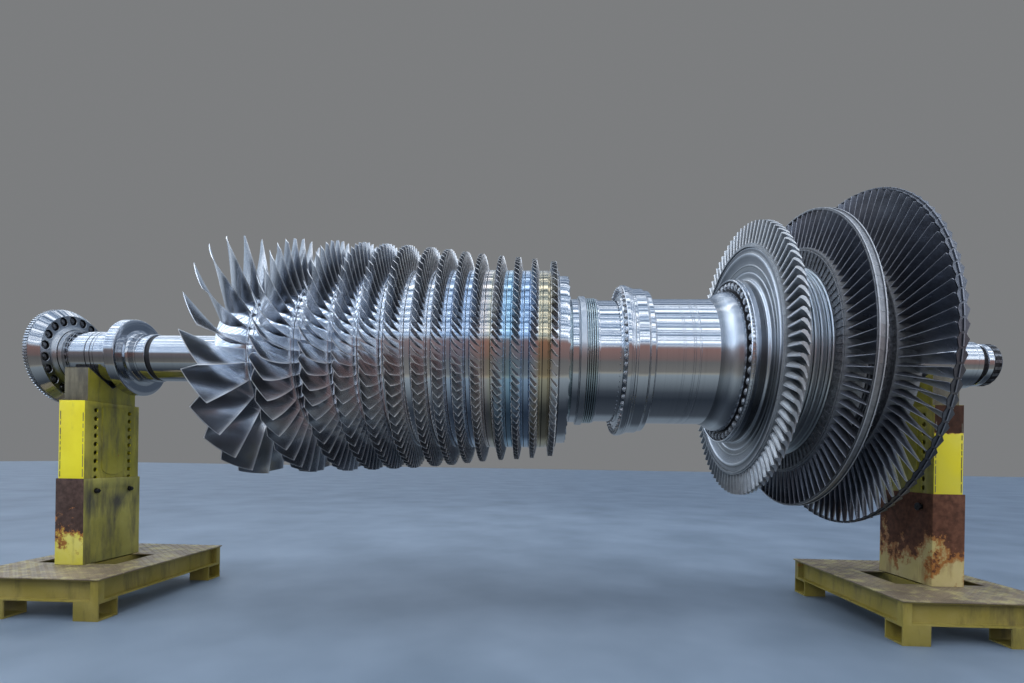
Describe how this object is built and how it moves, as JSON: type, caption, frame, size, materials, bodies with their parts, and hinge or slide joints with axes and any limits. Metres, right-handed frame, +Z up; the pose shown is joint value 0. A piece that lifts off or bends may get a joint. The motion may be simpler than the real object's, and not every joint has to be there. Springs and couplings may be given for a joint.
{
  "type": "gas turbine rotor on stands",
  "caption": "Heavy-duty gas turbine rotor: multi-stage bladed compressor drum and bladed turbine wheels on a common shaft, resting in adjustable V-saddle stands on skids.",
  "frame": {"origin": "on the floor, at the middle of the overall box, below the rotor axis", "axes": "+X along the rotor axis from the compressor inlet to the exhaust end, +Z up, the pictured side faces -Y"},
  "size_m": [8.282, 2.714, 3.5018],
  "materials": {
    "polished_steel": "ground and polished, sharp streak reflections",
    "machined_steel": "turned, satin",
    "compressor_steel": "polished drum with satin blades",
    "bucket_alloy": "blasted satin grey",
    "dark_bucket_alloy": "dark service oxide",
    "yellow_paint": "worn yellow paint with rust",
    "tread_plate": "worn painted tread plate",
    "liner_pad": "matt"
  },
  "bodies": {
    "root": {"load_coupling_flange": "machined_steel", "forward_stub_shaft": "polished_steel", "thrust_collar": "machined_steel", "forward_journal": "polished_steel", "compressor_stage_00": "compressor_steel", "compressor_stage_01": "compressor_steel", "compressor_stage_02": "compressor_steel", "compressor_stage_03": "compressor_steel", "compressor_stage_04": "compressor_steel", "compressor_stage_05": "compressor_steel", "compressor_stage_06": "compressor_steel", "compressor_stage_07": "compressor_steel", "compressor_stage_08": "compressor_steel", "compressor_stage_09": "compressor_steel", "compressor_stage_10": "compressor_steel", "compressor_stage_11": "compressor_steel", "compressor_stage_12": "compressor_steel", "compressor_stage_13": "compressor_steel", "compressor_aft_ring": "polished_steel", "compressor_seal_hub": "machined_steel", "distance_piece": "polished_steel", "marriage_coupling": "machined_steel", "turbine_forward_shaft": "polished_steel", "turbine_bolt_flange": "polished_steel", "turbine_wheel_1_face": "machined_steel", "turbine_stage_1": "bucket_alloy", "spacer_1_2": "machined_steel", "turbine_stage_2": "dark_bucket_alloy", "spacer_2_3": "machined_steel", "turbine_stage_3": "dark_bucket_alloy", "aft_shaft_cone": "machined_steel", "aft_journal": "polished_steel", "aft_shaft_end": "machined_steel", "left_skid_frame": "yellow_paint", "left_deck_plate": "tread_plate", "left_outer_post": "yellow_paint", "left_inner_post": "yellow_paint", "left_saddle": "yellow_paint", "left_saddle_liner": "liner_pad", "right_skid_frame": "yellow_paint", "right_deck_plate": "tread_plate", "right_outer_post": "yellow_paint", "right_inner_post": "yellow_paint", "right_saddle": "yellow_paint", "right_saddle_liner": "liner_pad"}
  },
  "joints": []
}
